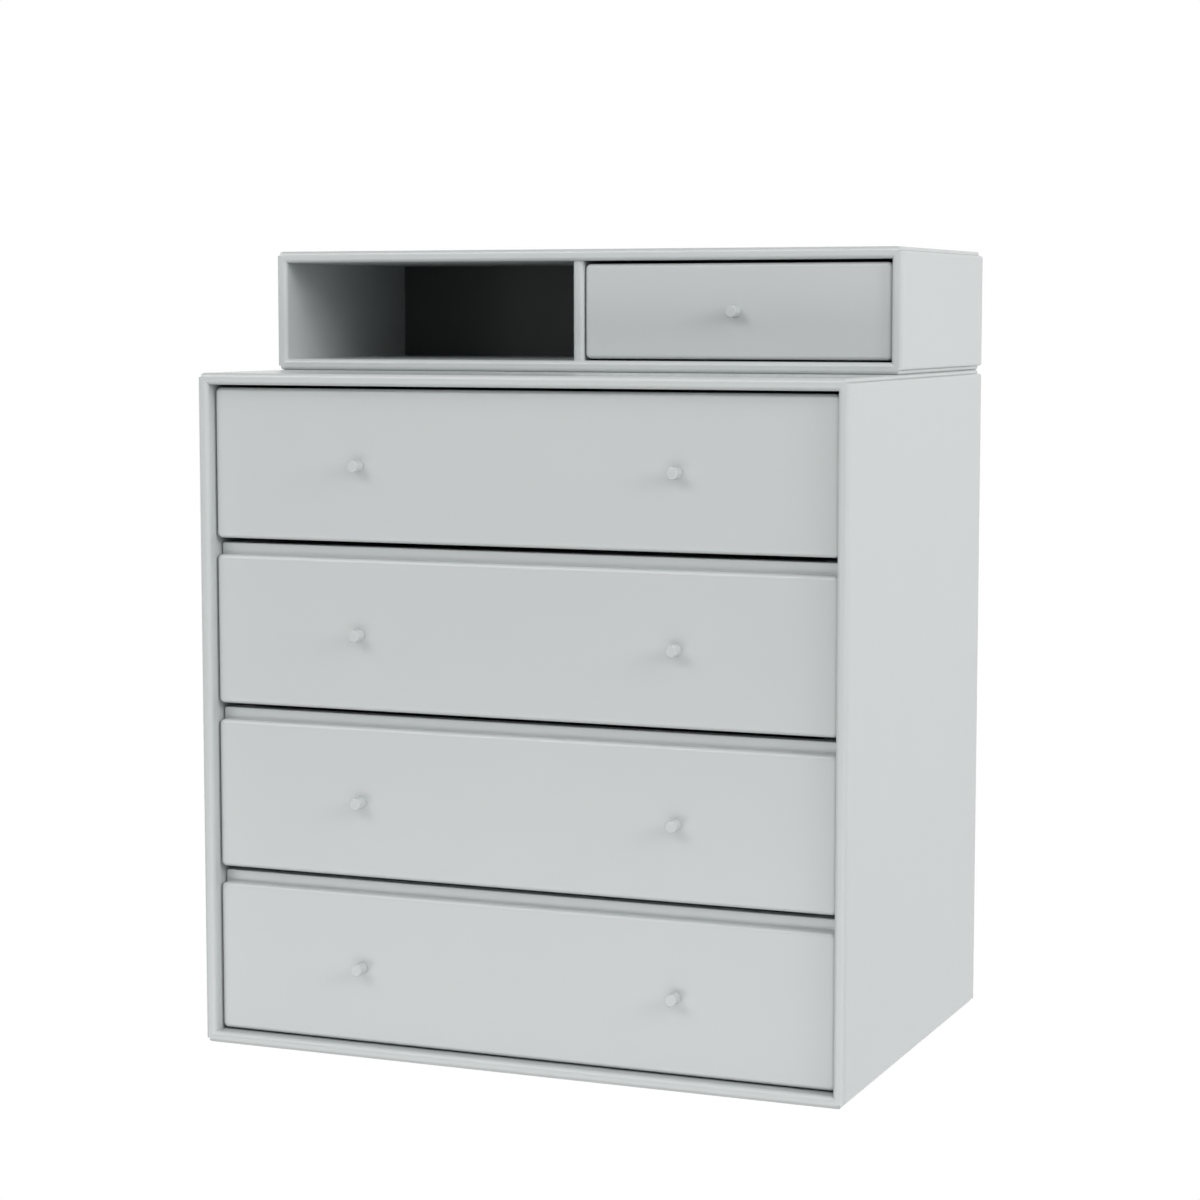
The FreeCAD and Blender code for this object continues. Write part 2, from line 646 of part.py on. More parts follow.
WIDE_NAMES = [f"drawer_{from_top + 1}" for from_top in range(WIDE_DRAWERS)]
RUNNER_RISES = {name: "Sizes.runner_rise" for name in WIDE_NAMES}
RUNNER_RISES["small_drawer"] = "Sizes.small_runner_rise"
wall_screw_levels = []
cabinet_members = []


def wide_drawer(name, place_from_bottom, is_top):
    front_low = (
        f"({UNDERSIDE} + Sizes.panel + Sizes.end_gap"
        f" + {place_from_bottom} * ({FRONT_HEIGHT} + Sizes.front_spacing))"
    )
    low = f"({front_low} + Sizes.box_lift)"
    rise = "-Sizes.top_drop" if is_top else "+ Sizes.strip_rise"
    height = f"({FRONT_HEIGHT} - Sizes.box_lift {rise})"
    half = f"{FRONT_WIDTH} / 2"
    knob_level = f"{FRONT_HEIGHT} / 2"
    knob_sides = [f"{half} {sign} Sizes.knob_offset" for sign in "-+"]
    screw_sides = ["Sizes.screw_inset", f"{FRONT_WIDTH} - Sizes.screw_inset"]
    screw_levels = [f"{FRONT_HEIGHT} * {share} / 4" for share in (1, 3)]
    knob_places = [(across, knob_level) for across in knob_sides]
    screw_places = [(across, level) for across in screw_sides for level in screw_levels]

    front = outer_front(f"{name}_front", FRONT_WIDTH, FRONT_HEIGHT)
    holes = sketch_on(front, "XZ_Plane")
    add_circles(holes, knob_places, HOLE)
    pocket(front, holes)
    holes = sketch_on(front, "XZ_Plane", "-Sizes.front_panel")
    add_circles(holes, screw_places, HOLE)
    pocket(front, holes, "Sizes.screw_bite", along_normal=True)
    place(front, f"-{half}", FACE, front_low)

    inner = inner_front(f"{name}_inner_front", FRONT_WIDTH, height)
    holes = sketch_on(inner, "XZ_Plane")
    add_circles(holes, [(x, f"{z} - Sizes.box_lift") for x, z in knob_places + screw_places], HOLE)
    pocket(inner, holes)
    slot = sketch_on(inner, "XZ_Plane", "-Sizes.inner_front")
    slot_left = f"({FRONT_WIDTH} - {BOX_WIDTH}) / 2 + Sizes.box_side - Sizes.tray_groove"
    add_rectangle(
        slot,
        slot_left,
        "Sizes.tray_lift",
        f"{FRONT_WIDTH} - ({slot_left})",
        TRAY_TOP,
    )
    pocket(inner, slot, "Sizes.tray_groove", along_normal=True)
    place(inner, f"-{half}", INNER_FACE, low)

    drawer_box(
        name, f"-{BOX_WIDTH} / 2", BOX_WIDTH, BOX_START, BOX_LENGTH, low, height,
        f"{BOX_START} - Sizes.tray_groove",
    )

    group(f"{name}_knobs", [
        copy_of(knob, f"{across} - {half}", FACE, f"{front_low} + {knob_level}") for across in knob_sides
    ])
    left, right = f"-{INNER_WIDTH} / 2", f"{INNER_WIDTH} / 2"
    level = f"({low} + Sizes.runner_rise)"
    span = (left, right, BOX_START, BOX_LENGTH, level)
    group(f"{name}_runner_members", pair_of(wide_drawer_member, *span))
    group(f"{name}_middle_members", pair_of(wide_middle_member, *span))
    cabinet_members.extend(pair_of(wide_cabinet_member, *span))
    carcass_screws.extend(runner_screws(*span, "Sizes.runner_metal", outwards=True))
    wall_screw_levels.append(level)

    seats = [(x, z, knob_screw) for x, z in knob_places] + [(x, z, front_screw) for x, z in screw_places]
    screws = [
        copy_of(kind, f"{x} - {half}", BOX_START, f"{front_low} + {z}") for x, z, kind in seats
    ]
    screws += runner_screws(*span, DRAWER_WEB_END, outwards=False)
    group(f"{name}_screws", screws)


for index, name in enumerate(WIDE_NAMES):
    wide_drawer(name, len(WIDE_NAMES) - 1 - index, is_top=index == 0)
group("main_runner_rails", cabinet_members)


def wall_screw_holes(panel_body, centres):
    """Blind holes for runner screws in a panel's inner face."""
    holes = sketch_on(panel_body, "XY_Plane", "Sizes.panel")
    add_circles(holes, centres, HOLE)
    pocket(panel_body, holes, "Sizes.screw_bite")


main_screws = [
    (f"{level} + {rise}", f"{BOX_START} + Sizes.main_depth + {along}")
    for level in wall_screw_levels
    for along, rise in runner_screw_places(BOX_LENGTH)
]
wall_screw_holes(main_box["left"], [(f"{MAIN_TOP} - ({z})", y) for z, y in main_screws])
wall_screw_holes(main_box["right"], [(f"{z} - {UNDERSIDE}", y) for z, y in main_screws])

# The small drawer, in the right-hand bay of the upper box

small_front = outer_front("small_drawer_front", SMALL_FRONT_WIDTH, SMALL_FRONT_HEIGHT)
small_knob_place = (f"{SMALL_FRONT_WIDTH} / 2", f"{SMALL_FRONT_HEIGHT} / 2")
holes = sketch_on(small_front, "XZ_Plane")
add_circles(holes, [small_knob_place], HOLE)
pocket(small_front, holes)
slot = sketch_on(small_front, "XZ_Plane", "-Sizes.front_panel")
SMALL_SLOT_LEFT = "Sizes.runner_space - Sizes.side_gap + Sizes.box_side - Sizes.tray_groove"
add_rectangle(
    slot,
    SMALL_SLOT_LEFT,
    "Sizes.box_lift + Sizes.tray_lift",
    f"{SMALL_FRONT_WIDTH} - ({SMALL_SLOT_LEFT})",
    f"Sizes.box_lift + {TRAY_TOP}",
)
pocket(small_front, slot, "Sizes.tray_groove", along_normal=True)
place(small_front, f"{BAY_LEFT} + Sizes.side_gap", SMALL_FACE, SMALL_FRONT_LOW)

drawer_box(
    "small_drawer", f"{BAY_LEFT} + Sizes.runner_space", SMALL_BOX_WIDTH, SMALL_START,
    SMALL_LENGTH, SMALL_BOX_LOW, "Sizes.small_box_height",
    f"{SMALL_START} - Sizes.tray_groove",
)
small_knob = copy_of(knob, SMALL_MIDDLE, SMALL_FACE, SMALL_KNOB_LEVEL)
group("small_drawer_knob", [small_knob])
small_level = f"({SMALL_BOX_LOW} + Sizes.small_runner_rise)"
small_span = (BAY_LEFT, f"{BAY_LEFT} + {BAY_WIDTH}", SMALL_START, SMALL_LENGTH, small_level)
group("small_drawer_runner_members", pair_of(small_drawer_member, *small_span))
group("upper_runner_rails", pair_of(small_cabinet_member, *small_span))
small_screws = runner_screws(*small_span, DRAWER_WEB_END, outwards=False)
small_screws.append(copy_of(small_knob_screw, SMALL_MIDDLE, SMALL_START, SMALL_KNOB_LEVEL))
group("small_drawer_screws", small_screws)

small_wall_screws = [
    (f"{small_level} + {rise}", f"{SMALL_START} + Sizes.upper_depth + {along}")
    for along, rise in runner_screw_places(SMALL_LENGTH)
]
wall_screw_holes(upper_box["right"], [(f"{z} - {MAIN_TOP}", y) for z, y in small_wall_screws])
holes = sketch_on(divider, "YZ_Plane", "Sizes.panel")
add_circles(
    holes,
    [(f"{y} - Sizes.divider_recess", f"{z} - {MAIN_TOP} - Sizes.panel") for z, y in small_wall_screws],
    HOLE,
)
pocket(divider, holes, "Sizes.screw_bite")
carcass_screws.extend(runner_screws(*small_span, "Sizes.runner_metal", outwards=True))
group("carcass_screws", carcass_screws)

# Check and write

doc.recompute()
for item in doc.Objects:
    if "Invalid" in item.State or "Error" in item.State:
        raise RuntimeError(f"{item.Label} failed: {item.State}")
os.makedirs("parts", exist_ok=True)
for node in nodes:
    shape = node.Shape
    if shape.isNull() or not shape.isValid() or not shape.Solids:
        raise RuntimeError(f"{node.Label} has no valid solid")
for node in nodes:
    node.Shape.exportStep(os.path.join("parts", f"{node.Label}.step"))
print(len(nodes), "nodes written")
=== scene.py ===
"""Looks of a wall-hung chest of drawers: lacquered boards, knobs, runners and hanging gear in a studio."""

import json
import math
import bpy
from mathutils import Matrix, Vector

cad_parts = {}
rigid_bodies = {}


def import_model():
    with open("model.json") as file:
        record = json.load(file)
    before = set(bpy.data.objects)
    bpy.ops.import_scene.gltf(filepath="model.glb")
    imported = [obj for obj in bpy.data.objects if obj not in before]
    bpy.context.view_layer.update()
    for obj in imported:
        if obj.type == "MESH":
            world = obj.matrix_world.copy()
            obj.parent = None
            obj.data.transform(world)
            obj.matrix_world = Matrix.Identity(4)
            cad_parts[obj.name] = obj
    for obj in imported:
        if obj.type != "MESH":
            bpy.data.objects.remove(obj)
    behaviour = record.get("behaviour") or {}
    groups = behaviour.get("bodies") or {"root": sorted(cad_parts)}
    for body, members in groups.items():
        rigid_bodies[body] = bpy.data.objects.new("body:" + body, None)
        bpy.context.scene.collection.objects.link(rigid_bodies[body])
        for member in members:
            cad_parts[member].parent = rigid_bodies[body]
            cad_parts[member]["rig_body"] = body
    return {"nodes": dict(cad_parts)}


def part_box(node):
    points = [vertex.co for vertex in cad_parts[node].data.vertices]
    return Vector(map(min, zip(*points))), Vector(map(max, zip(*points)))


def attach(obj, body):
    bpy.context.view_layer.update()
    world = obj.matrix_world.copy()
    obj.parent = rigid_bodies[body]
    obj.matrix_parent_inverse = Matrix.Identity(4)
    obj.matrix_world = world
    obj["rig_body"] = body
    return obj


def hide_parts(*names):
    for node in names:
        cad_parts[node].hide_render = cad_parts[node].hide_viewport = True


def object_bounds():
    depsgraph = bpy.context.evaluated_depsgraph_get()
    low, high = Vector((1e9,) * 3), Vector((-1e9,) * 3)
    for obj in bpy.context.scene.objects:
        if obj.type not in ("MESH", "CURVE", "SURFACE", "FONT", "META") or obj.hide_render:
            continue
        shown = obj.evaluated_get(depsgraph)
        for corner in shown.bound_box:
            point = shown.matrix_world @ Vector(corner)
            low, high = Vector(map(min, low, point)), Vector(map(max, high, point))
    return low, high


bl_info = {
    "name": "Wall chest of drawers",
    "version": (1, 0, 0),
    "blender": (4, 5, 0),
    "location": "3D View > Sidebar > Wall chest",
    "description": "Builds the lacquered boards, drawers, runners and hanging gear around the chest's frame",
    "category": "Object",
}

import bmesh
import bpy
from bpy.props import FloatProperty, FloatVectorProperty, PointerProperty
from mathutils import Matrix, Vector

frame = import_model()
CAD_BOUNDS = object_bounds()
BODY_OF = {node: thing["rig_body"] for node, thing in frame["nodes"].items()}

WIDE_DRAWERS = [f"drawer_{number}" for number in range(1, 5)]
DRAWERS = WIDE_DRAWERS + ["small_drawer"]
BOXES = ("main", "upper")
SIDEWAYS, OUTWARDS, UPWARDS = Vector((1, 0, 0)), Vector((0, -1, 0)), Vector((0, 0, 1))
INWARDS = -OUTWARDS
CORNERS = ((1, 1), (-1, 1), (-1, -1), (1, -1))
ARC_STEPS = 10
SHARP_ANGLE = math.radians(32)
MITRE = math.radians(45)

# Distances at which points count as one, and at which a point lies on a face
WELD = 1e-6
ON_FACE = 1e-5


# Sizes and colours that a user would change

def length_property(label, text, default, low, high):
    return FloatProperty(
        name=label, description=text, default=default, min=low, max=high, precision=4, unit="LENGTH"
    )


def colour_property(label, text, default):
    return FloatVectorProperty(
        name=label, description=text, default=default, min=0, max=1, size=3, subtype="COLOR"
    )


class ChestCarcassSizes(bpy.types.PropertyGroup):
    """Edges of the two mitred boxes"""

    arris: length_property("Arris", "Rounding of the panels' front edges", 0.0045, 0.001, 0.0055)
    tip: length_property("Tip", "Rounding of each panel's mitred tip", 0.003, 0.001, 0.006)
    rear_ease: length_property("Rear ease", "Easing of the panels' rear edges", 0.0005, 0.0, 0.002)
    groove: length_property("Groove", "Depth of the grooves that hold the back panels", 0.004, 0.0, 0.008)
    board_ease: length_property("Board ease", "Easing of plain boards' edges", 0.0006, 0.0, 0.002)


class ChestDrawerSizes(bpy.types.PropertyGroup):
    """Edges of the drawers"""

    front_edge: length_property("Front edge", "Rounding around the drawer fronts", 0.004, 0.001, 0.006)
    front_corner: length_property("Front corner", "Corner radius of the drawer fronts", 0.0055, 0.001, 0.02)
    inner_edge: length_property("Inner edge", "Rounding around the inner fronts", 0.001, 0.0005, 0.006)
    inner_corner: length_property("Inner corner", "Corner radius of the inner fronts", 0.002, 0.001, 0.02)
    side_edge: length_property("Side edge", "Rounding along the top of the drawer sides", 0.002, 0.0, 0.004)
    tray_groove: length_property("Tray groove", "Depth of the grooves for the bottoms", 0.005, 0.0, 0.008)
    knob_edge: length_property("Knob edge", "Rounding at the knobs' outer edge", 0.0011, 0.0002, 0.004)
    knob_foot: length_property("Knob foot", "Rounding where a knob meets its front", 0.0008, 0.0001, 0.002)


class ChestMetalSizes(bpy.types.PropertyGroup):
    """Sheet metal and screws"""

    runner_sheet: length_property("Runner sheet", "Thickness of the runners", 0.0012, 0.0005, 0.003)
    runner_bend: length_property("Runner bend", "Bend radius of the runners", 0.0018, 0.0007, 0.004)
    hook_sheet: length_property("Hook sheet", "Thickness of the rail and hooks", 0.0018, 0.0005, 0.004)
    hook_bend: length_property("Hook bend", "Bend radius of the rail and hooks", 0.00125, 0.001, 0.004)
    rail_hole: length_property("Rail hole", "Diameter of the rail's screw holes", 0.0065, 0.002, 0.012)
    thread_pitch: length_property("Thread pitch", "Pitch of the screws' threads", 0.0018, 0.0005, 0.004)
    head_height: length_property("Head height", "Height of the screw heads", 0.0018, 0.0005, 0.004)


class ChestFinish(bpy.types.PropertyGroup):
    """Colours of the finishes"""

    lacquer: colour_property("Lacquer", "Pale cool grey satin lacquer", (0.545, 0.574, 0.572))
    # Near-black back panels: painted shade for the deep shadow inside the open bay, where the real panels
    # are the lacquer's grey
    back_board: colour_property("Back board", "Dark grey back panels", (0.080, 0.088, 0.088))
    zinc: colour_property("Zinc", "Zinc-plated sheet", (0.60, 0.62, 0.64))
    screw: colour_property("Screw", "Bright screws", (0.52, 0.52, 0.51))
    wood: colour_property("Wood", "Pale batten wood", (0.52, 0.36, 0.20))
    grain: colour_property("Grain", "Late wood in the batten", (0.34, 0.20, 0.10))
    floor: colour_property("Floor", "Pale studio floor", (0.80, 0.80, 0.80))
    ambient: FloatProperty(
        name="Ambient",
        description="Even light from the studio's surround",
        default=0.10,
        min=0,
        max=1,
        subtype="FACTOR",
    )


class ChestSettings(bpy.types.PropertyGroup):
    """All settings of the chest"""

    carcass: PointerProperty(type=ChestCarcassSizes)
    drawers: PointerProperty(type=ChestDrawerSizes)
    metal: PointerProperty(type=ChestMetalSizes)
    finish: PointerProperty(type=ChestFinish)


def settings():
    return bpy.context.scene.wall_chest


def paint(name):
    """One of the finish colours, with its alpha."""
    return (*getattr(settings().finish, name), 1)


# Shader node groups and materials

def shader_group(name, inputs, outputs):
    """An empty node group with inputs, each with its default value, and outputs."""
    tree = bpy.data.node_groups.new(name, "ShaderNodeTree")
    for label, value in inputs.items():
        socket = tree.interface.new_socket(label, in_out="INPUT", socket_type="NodeSocketFloat")
        socket.default_value = value
    for label in outputs:
        tree.interface.new_socket(label, in_out="OUTPUT", socket_type="NodeSocketFloat")
    return tree


def add_node(tree, kind, **values):
    node = tree.nodes.new(kind)
    for key, value in values.items():
        setattr(node, key, value)
    return node


def feed(tree, value, socket):
    """Links an input to a socket, or sets it to a plain value."""
    if isinstance(value, bpy.types.NodeSocket):
        tree.links.new(value, socket)
    else:
        socket.default_value = value


def noise(tree, place, scale, detail=3.0):
    node = add_node(tree, "ShaderNodeTexNoise")
    node.inputs["Detail"].default_value = detail
    feed(tree, place, node.inputs["Vector"])
    feed(tree, scale, node.inputs["Scale"])
    return node.outputs["Fac"]


def spread(tree, value, low, high):
    """A noise value spread between two limits."""
    usual_low, usual_high = 0.15, 0.85
    node = add_node(tree, "ShaderNodeMapRange", interpolation_type="SMOOTHSTEP")
    node.inputs["From Min"].default_value = usual_low
    node.inputs["From Max"].default_value = usual_high
    feed(tree, value, node.inputs["Value"])
    feed(tree, low, node.inputs["To Min"])
    feed(tree, high, node.inputs["To Max"])
    return node.outputs["Result"]


def mottle_group():
    """Slow change of tone over a finished surface, and a quicker change of its gloss."""
    name = "Chest mottle"
    if name in bpy.data.node_groups:
        return bpy.data.node_groups[name]
    inputs = {"Scale": 6.0, "Darkest": 0.96, "Smoothest": 0.4, "Roughest": 0.5}
    tree = shader_group(name, inputs, ["Tone", "Roughness"])
    quicker = 5.0
    given = add_node(tree, "NodeGroupInput").outputs
    result = add_node(tree, "NodeGroupOutput").inputs
    place = add_node(tree, "ShaderNodeTexCoord").outputs["Object"]
    slow = noise(tree, place, given["Scale"])
    faster = add_node(tree, "ShaderNodeMath", operation="MULTIPLY")
    faster.inputs[1].default_value = quicker
    tree.links.new(given["Scale"], faster.inputs[0])
    quick = noise(tree, place, faster.outputs["Value"])
    tree.links.new(spread(tree, slow, given["Darkest"], 1.0), result["Tone"])
    gloss = spread(tree, quick, given["Smoothest"], given["Roughest"])
    tree.links.new(gloss, result["Roughness"])
    return tree


def texture_group():
    """Height of a fine surface texture: turning marks, or rolling marks where it is stretched."""
    name = "Chest fine texture"
    if name in bpy.data.node_groups:
        return bpy.data.node_groups[name]
    tree = shader_group(name, {"Scale": 400.0, "Stretch": 1.0}, ["Height"])
    given = add_node(tree, "NodeGroupInput").outputs
    result = add_node(tree, "NodeGroupOutput").inputs
    place = add_node(tree, "ShaderNodeTexCoord").outputs["Object"]
    stretch = add_node(tree, "ShaderNodeCombineXYZ")
    for axis in "XZ":
        stretch.inputs[axis].default_value = 1.0
    tree.links.new(given["Stretch"], stretch.inputs["Y"])
    mapped = add_node(tree, "ShaderNodeVectorMath", operation="MULTIPLY")
    tree.links.new(place, mapped.inputs[0])
    tree.links.new(stretch.outputs["Vector"], mapped.inputs[1])
    marks = noise(tree, mapped.outputs["Vector"], given["Scale"], detail=2.0)
    tree.links.new(marks, result["Height"])
    return tree


def place_group(tree, group, **values):
    node = add_node(tree, "ShaderNodeGroup", node_tree=group)
    for label, value in values.items():
        node.inputs[label].default_value = value
    return node


def new_material(name):
    """A material with its Principled BSDF, and the tree it is in."""
    material = bpy.data.materials.new(name)
    material.use_nodes = True
    tree = material.node_tree
    return material, tree, tree.nodes["Principled BSDF"]


def mottled(tree, shader, colour, **values):
    """Gives a shader a colour, which is plain or a socket, with a change of tone and of gloss."""
    mottle = place_group(tree, mottle_group(), **values)
    shaded = add_node(tree, "ShaderNodeMix", data_type="RGBA", blend_type="MULTIPLY")
    shaded.inputs["Factor"].default_value = 1.0
    feed(tree, colour, shaded.inputs["A"])
    tree.links.new(mottle.outputs["Tone"], shaded.inputs["B"])
    tree.links.new(shaded.outputs["Result"], shader.inputs["Base Color"])
    tree.links.new(mottle.outputs["Roughness"], shader.inputs["Roughness"])


def add_bump(tree, shader, height, distance):
    bump = add_node(tree, "ShaderNodeBump")
    bump.inputs["Strength"].default_value = 1.0
    bump.inputs["Distance"].default_value = distance
    tree.links.new(height, bump.inputs["Height"])
    tree.links.new(bump.outputs["Normal"], shader.inputs["Normal"])


def lacquer_material(name="Grey satin lacquer", colour="lacquer", gloss=0.5):
    """Sprayed satin lacquer."""
    if name in bpy.data.materials:
        return bpy.data.materials[name]
    material, tree, shader = new_material(name)
    mottled(tree, shader, paint(colour), Scale=4.0, Darkest=0.985, Smoothest=0.23, Roughest=0.27)
    shader.inputs["Specular IOR Level"].default_value = gloss
    return material


# Near-black board with low gloss on both back panels: painted shade that darkens the back of the open bay
def painted_shade_back_material():
    return lacquer_material("Dark back board", "back_board", gloss=0.15)


def zinc_material():
    """Plated sheet, with its rolling marks along Y."""
    name = "Zinc-plated sheet"
    if name in bpy.data.materials:
        return bpy.data.materials[name]
    material, tree, shader = new_material(name)
    mottled(tree, shader, paint("zinc"), Scale=45.0, Darkest=0.80, Smoothest=0.26, Roughest=0.42)
    shader.inputs["Metallic"].default_value = 1.0
    rolled = place_group(tree, texture_group(), Scale=900.0, Stretch=0.05)
    add_bump(tree, shader, rolled.outputs["Height"], distance=0.00003)
    return material


def screw_material():
    name = "Bright screw steel"
    if name in bpy.data.materials:
        return bpy.data.materials[name]
    material, tree, shader = new_material(name)
    mottled(tree, shader, paint("screw"), Scale=250.0, Darkest=0.75, Smoothest=0.22, Roughest=0.40)
    shader.inputs["Metallic"].default_value = 1.0
    marks = place_group(tree, texture_group(), Scale=1500.0, Stretch=1.0)
    add_bump(tree, shader, marks.outputs["Height"], distance=0.00002)
    return material


def wood_material():
    """Pale softwood, with its grain along X."""
    name = "Batten wood"
    if name in bpy.data.materials:
        return bpy.data.materials[name]
    material, tree, shader = new_material(name)
    place = add_node(tree, "ShaderNodeTexCoord").outputs["Object"]
    along = add_node(tree, "ShaderNodeMapping")
    along.inputs["Scale"].default_value = (0.9, 14.0, 14.0)
    tree.links.new(place, along.inputs["Vector"])
    rings = add_node(tree, "ShaderNodeTexWave", wave_type="BANDS", bands_direction="Z")
    rings.inputs["Scale"].default_value = 3.2
    rings.inputs["Distortion"].default_value = 5.0
    rings.inputs["Detail"].default_value = 3.0
    rings.inputs["Detail Scale"].default_value = 1.2
    tree.links.new(along.outputs["Vector"], rings.inputs["Vector"])
    ramp = add_node(tree, "ShaderNodeValToRGB")
    early, late = ramp.color_ramp.elements
    early.color, early.position = paint("wood"), 0.45
    late.color = paint("grain")
    tree.links.new(rings.outputs["Fac"], ramp.inputs["Fac"])
    mottled(tree, shader, ramp.outputs["Color"], Scale=20.0, Darkest=0.88, Smoothest=0.60, Roughest=0.75)
    add_bump(tree, shader, rings.outputs["Fac"], distance=0.0002)
    return material


# Mesh building

class Shape:
    """Points and faces of one piece, gathered shell by shell."""

    def __init__(self):
        self.points = []
        self.faces = []

    def add(self, points, faces):
        first = len(self.points)
        self.points.extend(Vector(point) for point in points)
        self.faces.extend([first + index for index in face] for face in faces)

    def loft(self, rings):
        """A closed shell through rings that have as many points each."""
        count = len(rings[0])
        points = [point for ring in rings for point in ring]
        faces = []
        for layer in range(len(rings) - 1):
            here, there = layer * count, (layer + 1) * count
            for index in range(count):
                following = (index + 1) % count
                faces.append((here + index, here + following, there + following, there + index))
        faces.append(tuple(reversed(range(count))))
        faces.append(tuple(range(len(points) - count, len(points))))
        self.add(points, faces)

    def mesh(self, name):
        mesh = bpy.data.meshes.new(name)
        mesh.from_pydata(self.points, [], self.faces)
        work = bmesh.new()
        work.from_mesh(mesh)
        bmesh.ops.remove_doubles(work, verts=work.verts, dist=WELD)
        bmesh.ops.recalc_face_normals(work, faces=work.faces)
        work.to_mesh(mesh)
        work.free()
        return mesh


def finish_piece(node, mesh, suffix, material):
    """Puts a mesh in the place of a frame node, smooth where it is round and flat where it is flat."""
    piece = bpy.data.objects.new(f"{node}_{suffix}", mesh)
    bpy.context.scene.collection.objects.link(piece)
    mesh.shade_smooth()
    mesh.set_sharp_from_angle(angle=SHARP_ANGLE)
    flats = piece.modifiers.new("Flat faces stay flat", "WEIGHTED_NORMAL")
    flats.keep_sharp = True
    flats.weight = 90
    mesh.materials.append(material)
    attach(piece, BODY_OF[node])
    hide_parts(node)


def lacquered(node, shape):
    finish_piece(node, shape.mesh(node), "lacquered", lacquer_material())


def plated(node, mesh):
    finish_piece(node, mesh, "plated", zinc_material())


def quarter_round(radius):
    """Setback and depth of points round an edge, from its face to its side."""
    for step in range(ARC_STEPS + 1):
        turn = math.pi / 2 * step / ARC_STEPS
        yield radius * (1 - math.sin(turn)), radius * (1 - math.cos(turn))


def rounded_rectangle(width, height, radius):
    """Points round a rectangle about the origin."""
    points = []
    for corner, (side, level) in enumerate(CORNERS):
        middle = Vector((side * (width / 2 - radius), level * (height / 2 - radius)))
        for step in range(ARC_STEPS + 1):
            turn = math.pi / 2 * (corner + step / ARC_STEPS)
            points.append(middle + radius * Vector((math.cos(turn), math.sin(turn))))
    return points


def eased_board(node, thickness_axis, corner, face_edge, rear_edge):
    """A board in a frame node's place, with rounded corners and rounded edges at its face and its rear."""
    axis = "XYZ".index(thickness_axis)
    across, up = [other for other in range(3) if other != axis]
    low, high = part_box(node)
    middle, size = (low + high) / 2, high - low
    layers = [(depth, setback) for setback, depth in quarter_round(face_edge)]
    rear = [(size[axis] - depth, setback) for setback, depth in quarter_round(rear_edge)]
    layers += reversed(rear)
    rings = []
    for depth, setback in layers:
        outline = rounded_rectangle(size[across] - 2 * setback, size[up] - 2 * setback, corner - setback)
        ring = []
        for point in outline:
            place = middle.copy()
            place[axis] = low[axis] + depth
            place[across] += point.x
            place[up] += point.y
            ring.append(place)
        rings.append(ring)
    shape = Shape()
    shape.loft(rings)
    return shape


def extrude(shape, outline, along, start, end):
    """A prism on an outline of 3D points, from one value of an axis to another."""
    axis = "XYZ".index(along)
    rings = []
    for value in (start, end):
        ring = [point.copy() for point in outline]
        for point in ring:
            point[axis] = value
        rings.append(ring)
    shape.loft(rings)


def turned(shape, profile, base, direction, sides=40):
    """A solid of revolution from pairs of radius and distance along the axis."""
    side = direction.orthogonal().normalized()
    other = direction.cross(side)
    rings = []
    for radius, along in profile:
        middle = base + direction * along
        ring = []
        for step in range(sides):
            turn = math.tau * step / sides
            ring.append(middle + radius * (side * math.cos(turn) + other * math.sin(turn)))
        rings.append(ring)
    shape.loft(rings)


def bent_sheet(corners, thickness, bend):
    """Outline of a bent sheet whose middle line runs through the corners, as 2D points."""
    line = []
    directions = [(after - before).normalized() for before, after in zip(corners, corners[1:])]
    normals = [Vector((-direction.y, direction.x)) for direction in directions]
    line.append((corners[0], normals[0]))
    for index in range(1, len(corners) - 1):
        before, after = directions[index - 1], directions[index]
        turn = math.atan2(before.x * after.y - before.y * after.x, before.dot(after))
        towards = math.copysign(1, turn)
        start = corners[index] - before * bend * math.tan(abs(turn) / 2)
        centre = start + normals[index - 1] * towards * bend
        for step in range(ARC_STEPS + 1):
            normal = Matrix.Rotation(turn * step / ARC_STEPS, 2) @ normals[index - 1]
            line.append((centre - normal * towards * bend, normal))
    line.append((corners[-1], normals[-1]))
    one = [point + normal * thickness / 2 for point, normal in line]
    two = [point - normal * thickness / 2 for point, normal in line]
    return one + two[::-1]


def cut(mesh, cutter):
    """The mesh with another one taken out of it."""
    things = [bpy.data.objects.new("cut", item) for item in (mesh, cutter)]
    for thing in things:
        bpy.context.scene.collection.objects.link(thing)
    boolean = things[0].modifiers.new("Cut", "BOOLEAN")
    boolean.operation = "DIFFERENCE"
    boolean.solver = "EXACT"
    boolean.object = things[1]
    graph = bpy.context.evaluated_depsgraph_get()
    result = bpy.data.meshes.new_from_object(things[0].evaluated_get(graph))
    for thing in things:
        bpy.data.objects.remove(thing)
    return result


def separate_solids(node):
    """The points of each separate solid in a frame node."""
    work = bmesh.new()
    work.from_mesh(frame["nodes"][node].data)
    bmesh.ops.remove_doubles(work, verts=work.verts, dist=WELD)
    left = set(work.verts)
    solids = []
    while left:
        found, fresh = set(), [left.pop()]
        while fresh:
            vertex = fresh.pop()
            if vertex not in found:
                found.add(vertex)
                fresh.extend(edge.other_vert(vertex) for edge in vertex.link_edges)
        left -= found
        solids.append([vertex.co.copy() for vertex in found])
    work.free()
    return sorted(solids, key=lambda points: tuple(corners_of(points)[0]))


def corners_of(points):
    low = Vector([min(point[axis] for point in points) for axis in range(3)])
    high = Vector([max(point[axis] for point in points) for axis in range(3)])
    return low, high


# Pieces

